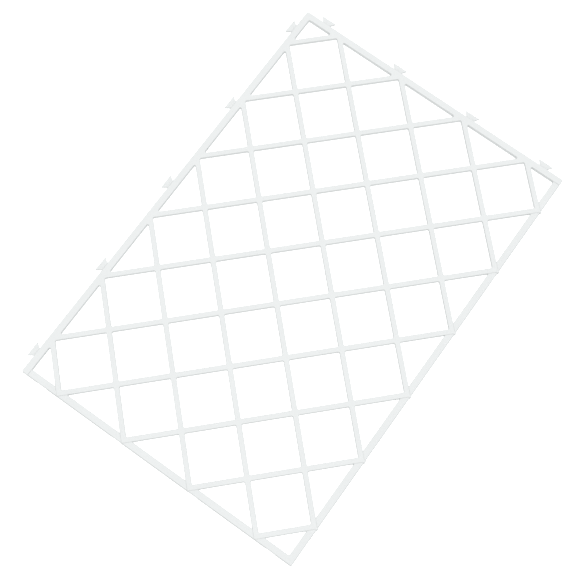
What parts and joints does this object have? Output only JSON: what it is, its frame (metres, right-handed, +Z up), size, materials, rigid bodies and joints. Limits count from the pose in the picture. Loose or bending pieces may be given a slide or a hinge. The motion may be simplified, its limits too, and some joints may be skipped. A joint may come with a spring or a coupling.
{
  "type": "interlocking lattice panel",
  "caption": "Flat plastic panel with an open diamond lattice in a rectangular rim, with dovetail tabs on two edges and matching sockets under the other two.",
  "frame": {"origin": "on the resting plane, under the middle of the whole outline with its tabs and nibs", "axes": "+Z up, away from the resting plane; +Y along the long side, towards the short edge that carries tabs; -X towards the long edge that carries tabs"},
  "size_m": [0.4086, 0.6074, 0.006],
  "materials": {
    "white_plastic": "satin moulded white polypropylene"
  },
  "bodies": {
    "root": {"long_tab_rail": "white_plastic", "short_tab_rail": "white_plastic", "long_socket_rail": "white_plastic", "short_socket_rail": "white_plastic", "rising_bar_01": "white_plastic", "rising_bar_02": "white_plastic", "rising_bar_03": "white_plastic", "rising_bar_04": "white_plastic", "rising_bar_05": "white_plastic", "rising_bar_06": "white_plastic", "rising_bar_07": "white_plastic", "rising_bar_08": "white_plastic", "rising_bar_09": "white_plastic", "rising_bar_10": "white_plastic", "falling_bar_01": "white_plastic", "falling_bar_02": "white_plastic", "falling_bar_03": "white_plastic", "falling_bar_04": "white_plastic", "falling_bar_05": "white_plastic", "falling_bar_06": "white_plastic", "falling_bar_07": "white_plastic", "falling_bar_08": "white_plastic", "falling_bar_09": "white_plastic", "falling_bar_10": "white_plastic", "long_edge_tab_1": "white_plastic", "long_edge_tab_2": "white_plastic", "long_edge_tab_3": "white_plastic", "long_edge_tab_4": "white_plastic", "long_edge_tab_5": "white_plastic", "short_edge_tab_1": "white_plastic", "short_edge_tab_2": "white_plastic", "short_edge_tab_3": "white_plastic", "short_edge_tab_4": "white_plastic"}
  },
  "joints": []
}
